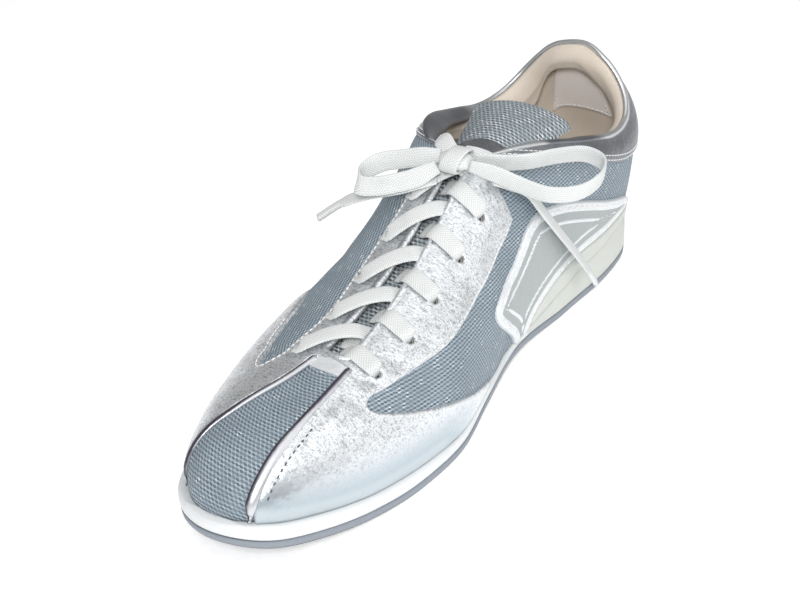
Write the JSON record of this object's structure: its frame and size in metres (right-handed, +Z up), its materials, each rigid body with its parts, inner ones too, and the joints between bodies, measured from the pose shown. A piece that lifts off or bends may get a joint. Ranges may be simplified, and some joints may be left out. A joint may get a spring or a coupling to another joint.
{
  "type": "low lace-up sneaker",
  "caption": "Low right-foot lace-up sneaker: hollow mesh upper with silver toe wings, side overlays, collar band, tongue, insole, low wedge sole and a tied flat lace.",
  "frame": {"origin": "under the middle of the shoe on the floor plane, cords left out", "axes": "+Z up, +Y to the heel, -Y to the toe, +X to the medial side of this right shoe"},
  "size_m": [0.1059, 0.2747, 0.0935],
  "materials": {
    "outsole": "matte moulded rubber",
    "midsole": "matte foam, white in front and cream at the heel",
    "insole": "tan footbed cloth",
    "mesh": "blue-grey woven mesh",
    "tongue_mesh": "blue-grey mesh with a slight glitter",
    "silver_leather": "crinkled silver coating",
    "side_patch": "pale grey smooth overlay",
    "collar_band": "shiny pewter coating",
    "piping": "silver folded edge",
    "lace": "off-white flat weave"
  },
  "bodies": {
    "root": {"outsole": "outsole", "midsole": "midsole", "insole": "insole", "upper": "mesh", "tongue": "tongue_mesh", "vamp_panel_medial": "silver_leather", "vamp_panel_lateral": "silver_leather", "heel_wedge": "midsole", "side_patch_medial": "side_patch", "side_patch_lateral": "side_patch", "collar_band": "collar_band", "toe_piping_medial": "piping", "toe_piping_lateral": "piping", "lace_bar_bottom": "lace", "lace_crossing_1": "lace", "lace_crossing_2": "lace", "lace_crossing_3": "lace", "lace_crossing_4": "lace", "lace_crossing_5": "lace", "lace_crossing_6": "lace", "lace_knot": "lace", "lace_loop_medial": "lace", "lace_loop_lateral": "lace", "lace_end_medial": "lace", "lace_end_lateral": "lace"}
  },
  "joints": []
}
